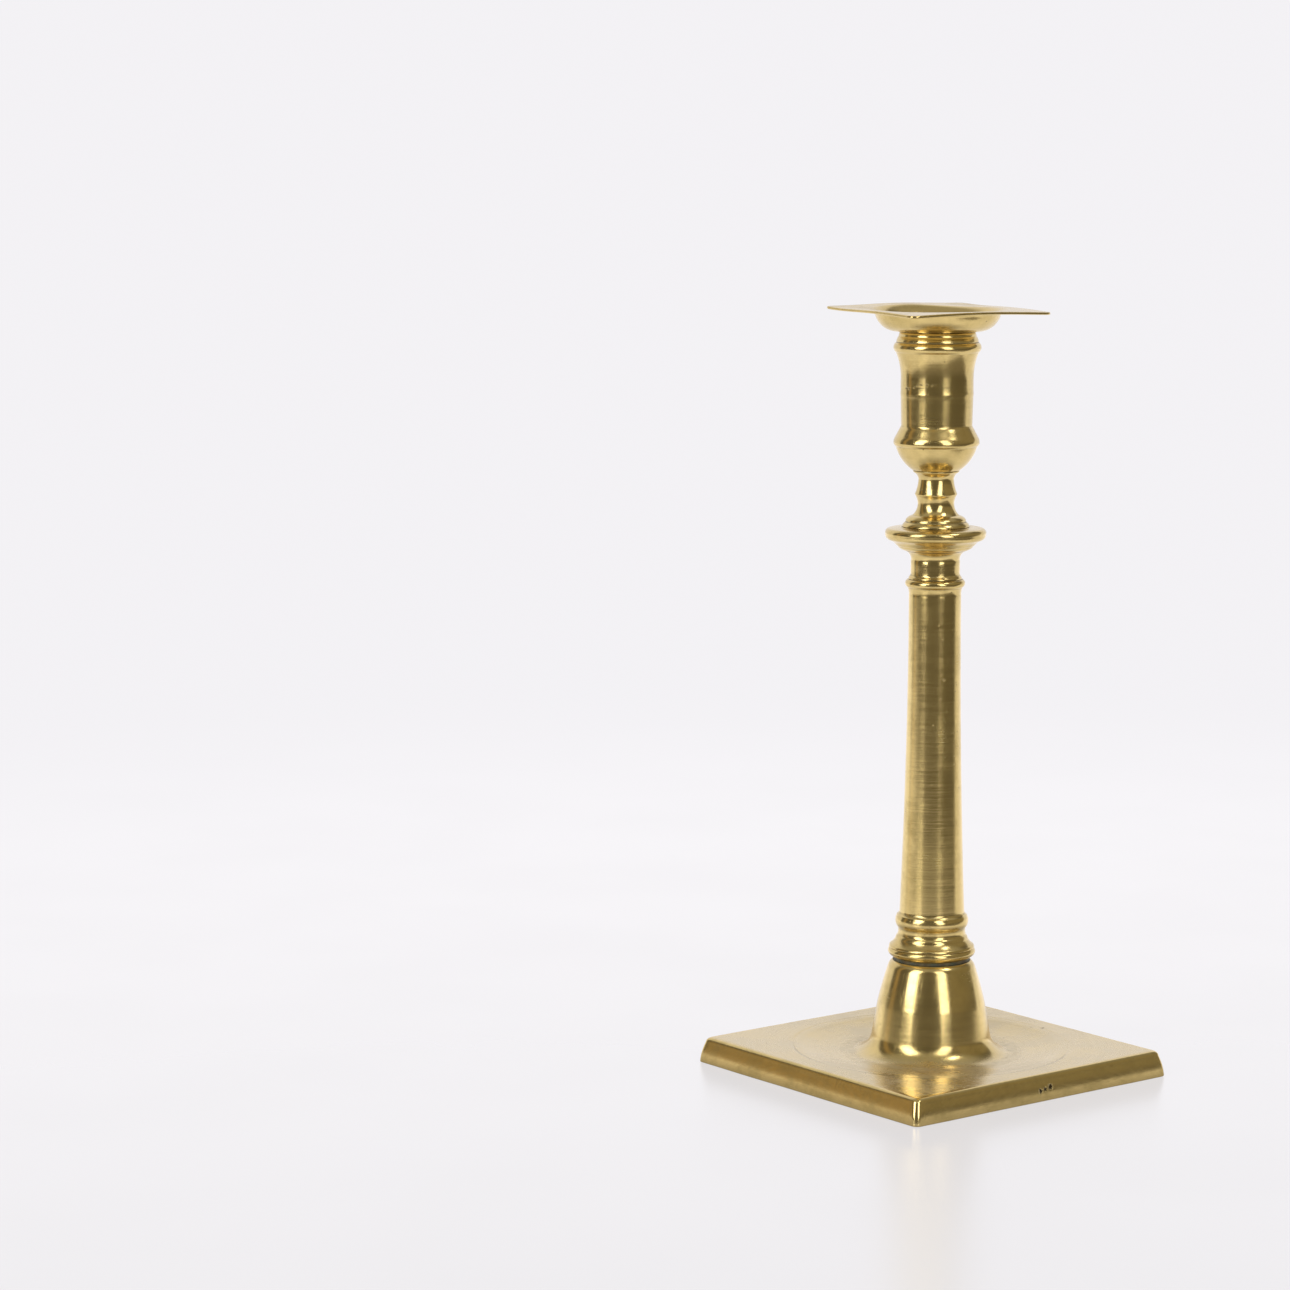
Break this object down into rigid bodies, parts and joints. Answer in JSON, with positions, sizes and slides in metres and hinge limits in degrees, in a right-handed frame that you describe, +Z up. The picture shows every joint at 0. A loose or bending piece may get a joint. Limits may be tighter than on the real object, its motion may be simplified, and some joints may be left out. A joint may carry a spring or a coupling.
{
  "type": "candlestick",
  "caption": "Tall brass candlestick: turned column with a round flange and beaded socket on a square foot, with a loose square drip pan that lifts out.",
  "frame": {"origin": "centre of the foot's underside, on the table", "axes": "+Z up along the column, X and Y square to the sides of the foot"},
  "size_m": [0.1232, 0.1232, 0.281],
  "materials": {
    "turned_brass": "turned and polished, fine lathe lines, lightly dulled",
    "cast_brass": "cast, polished and rubbed, cloudy on its flat top",
    "sheet_brass": "sheet, polished, pale",
    "dark_iron": "wrought, dark, dull"
  },
  "bodies": {
    "candlestick": {"foot": "cast_brass", "base_collar": "turned_brass", "shaft": "turned_brass", "neck": "turned_brass", "flange": "turned_brass", "knop": "turned_brass", "socket": "turned_brass", "tie_rod": "dark_iron", "clamp_washer": "dark_iron", "square_nut": "dark_iron"},
    "nozzle": {"nozzle_pan": "sheet_brass", "nozzle_tube": "sheet_brass"}
  },
  "joints": [
    {"name": "nozzle_lift", "type": "slide", "parent": "candlestick", "child": "nozzle", "axis": [0, 0, 1], "range_m": [0, 0.04]}
  ]
}
